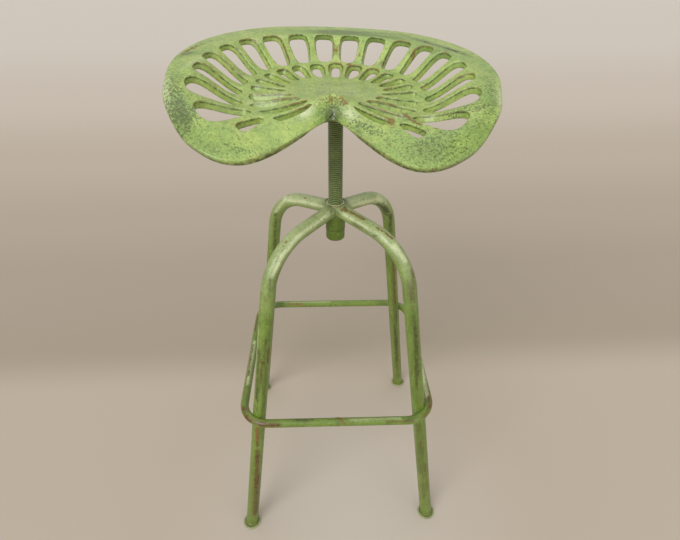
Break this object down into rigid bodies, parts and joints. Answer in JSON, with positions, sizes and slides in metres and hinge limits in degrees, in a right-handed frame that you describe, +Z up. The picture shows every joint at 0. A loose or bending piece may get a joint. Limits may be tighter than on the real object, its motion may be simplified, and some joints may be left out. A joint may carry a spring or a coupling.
{
  "type": "tractor seat stool",
  "caption": "Height-adjustable stool with an openwork cast tractor seat on a threaded spindle, four splayed bent tube legs and a square footrest ring.",
  "frame": {"origin": "on the floor, under the middle of the whole stool's bounding box; the spindle's vertical axis stands 14 mm in front of it, at x 0, y -0.014", "axes": "+Z up along the spindle; -Y is the front, where the seat has its notch; +X is the right side of the stool for someone who looks at its front"},
  "size_m": [0.4303, 0.4026, 0.8152],
  "materials": {
    "painted_iron": "distressed green enamel, semi-gloss",
    "painted_steel": "distressed green enamel, semi-gloss",
    "plated_steel": "dull zinc plating"
  },
  "bodies": {
    "frame": {"hub_tube": "painted_steel", "leg_rear_right": "painted_steel", "leg_rear_left": "painted_steel", "leg_front_left": "painted_steel", "leg_front_right": "painted_steel", "foot_disc_rear_right": "painted_steel", "foot_disc_rear_left": "painted_steel", "foot_disc_front_left": "painted_steel", "foot_disc_front_right": "painted_steel", "footrest_ring": "painted_steel"},
    "screw_washer": {"hub_washer": "painted_steel"},
    "seat": {"seat_pan": "painted_iron", "seat_flange": "painted_steel", "seat_bolt_1": "plated_steel", "seat_bolt_2": "plated_steel", "seat_bolt_3": "plated_steel", "seat_bolt_4": "plated_steel", "seat_bolt_washer_1": "plated_steel", "seat_bolt_washer_2": "plated_steel", "seat_bolt_washer_3": "plated_steel", "seat_bolt_washer_4": "plated_steel", "spindle": "painted_steel", "stop_nut": "painted_steel"}
  },
  "joints": [
    {"name": "seat_turn", "type": "hinge", "parent": "frame", "child": "screw_washer", "pos_m": [0, -0.014, 0.594], "axis": [0, 0, 1], "range_deg": [-16560, 0]},
    {"name": "seat_rise", "type": "slide", "parent": "screw_washer", "child": "seat", "axis": [0, 0, 1], "range_m": [-0.1382, 0]}
  ],
  "couplings": [
    {"joint": "seat_rise", "follows": "seat_turn", "m_per_rad": 0.00047746}
  ]
}
